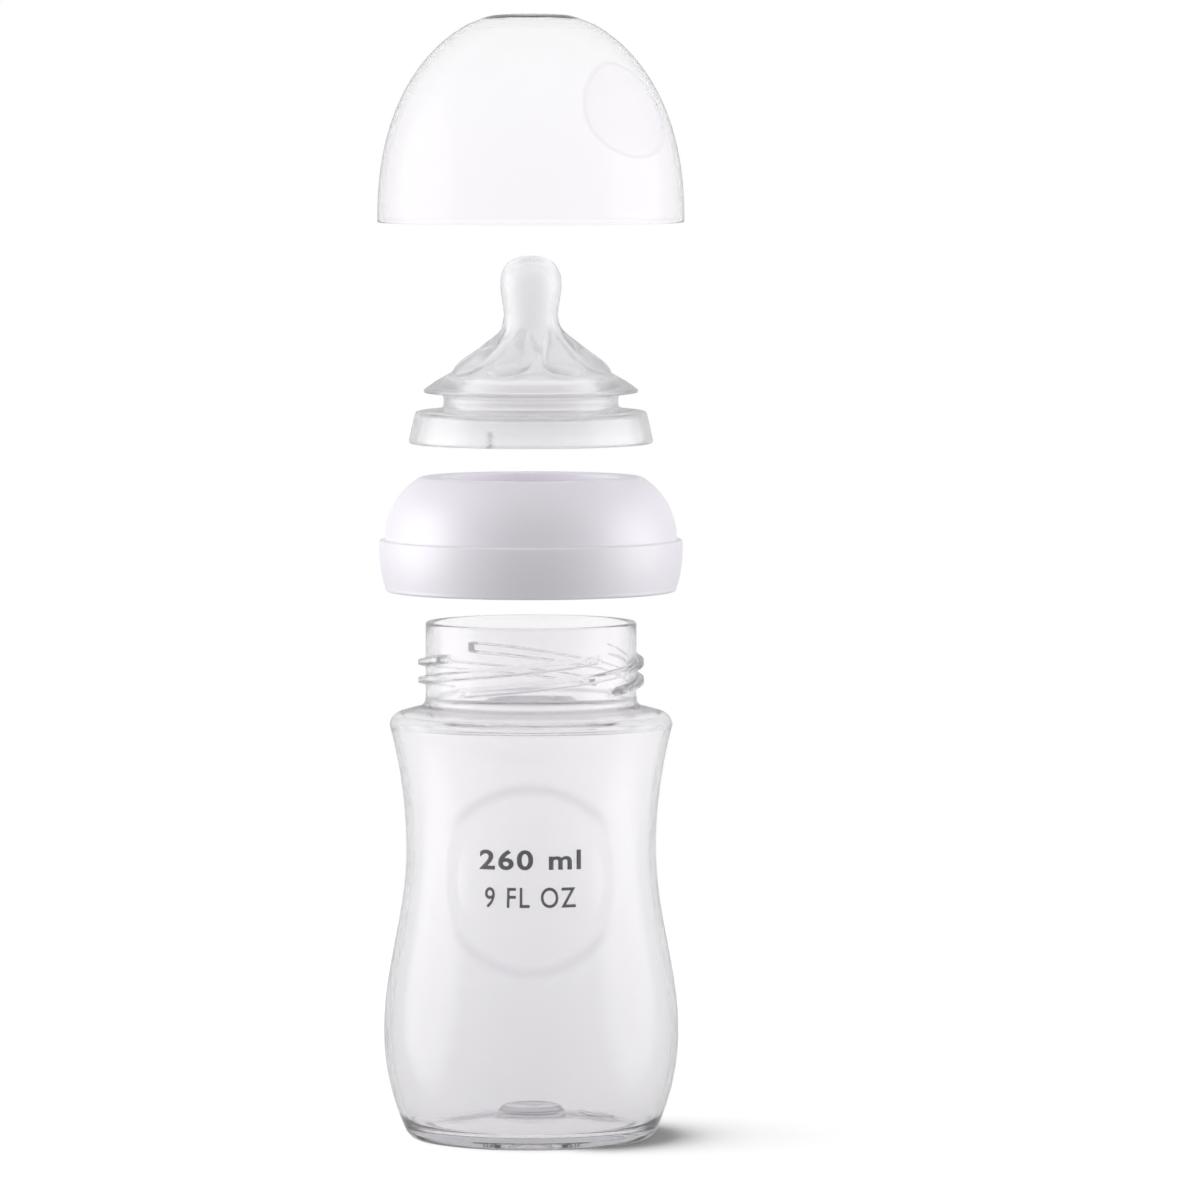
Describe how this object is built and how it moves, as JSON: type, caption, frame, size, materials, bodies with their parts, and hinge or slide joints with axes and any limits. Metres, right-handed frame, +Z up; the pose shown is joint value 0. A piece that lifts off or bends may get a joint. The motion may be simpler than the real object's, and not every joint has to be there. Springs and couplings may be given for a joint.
{
  "type": "baby bottle",
  "caption": "Wide-neck baby bottle: clear hour-glass body, white screw ring, silicone teat and domed cap, drawn apart on one axis.",
  "frame": {"origin": "centre of the bottle's foot, on the surface that it stands on", "axes": "+Z up along the bottle's axis, -Y towards the printed front, +X to the right of the front"},
  "size_m": [0.0698, 0.0698, 0.2559],
  "materials": {
    "clear_plastic": "clear polypropylene, polished",
    "white_plastic": "opaque white polypropylene, satin gloss",
    "silicone": "translucent silicone rubber, satin",
    "frosted_plastic": "translucent polypropylene, slightly frosted",
    "grey_print": "dark grey screen print"
  },
  "bodies": {
    "bottle": {"bottle": "clear_plastic"},
    "screw_ring": {"screw_ring": "white_plastic"},
    "teat": {"teat": "silicone"},
    "cap": {"cap": "frosted_plastic"}
  },
  "joints": [
    {"name": "ring_lift", "type": "slide", "parent": "bottle", "child": "screw_ring", "axis": [0, 0, 1], "range_m": [-0.02785, 0]},
    {"name": "teat_pull", "type": "slide", "parent": "screw_ring", "child": "teat", "axis": [0, 0, 1], "range_m": [-0.01865, 0], "deforming": ["teat"]},
    {"name": "cap_lift", "type": "slide", "parent": "teat", "child": "cap", "axis": [0, 0, 1], "range_m": [-0.05325, 0]}
  ]
}
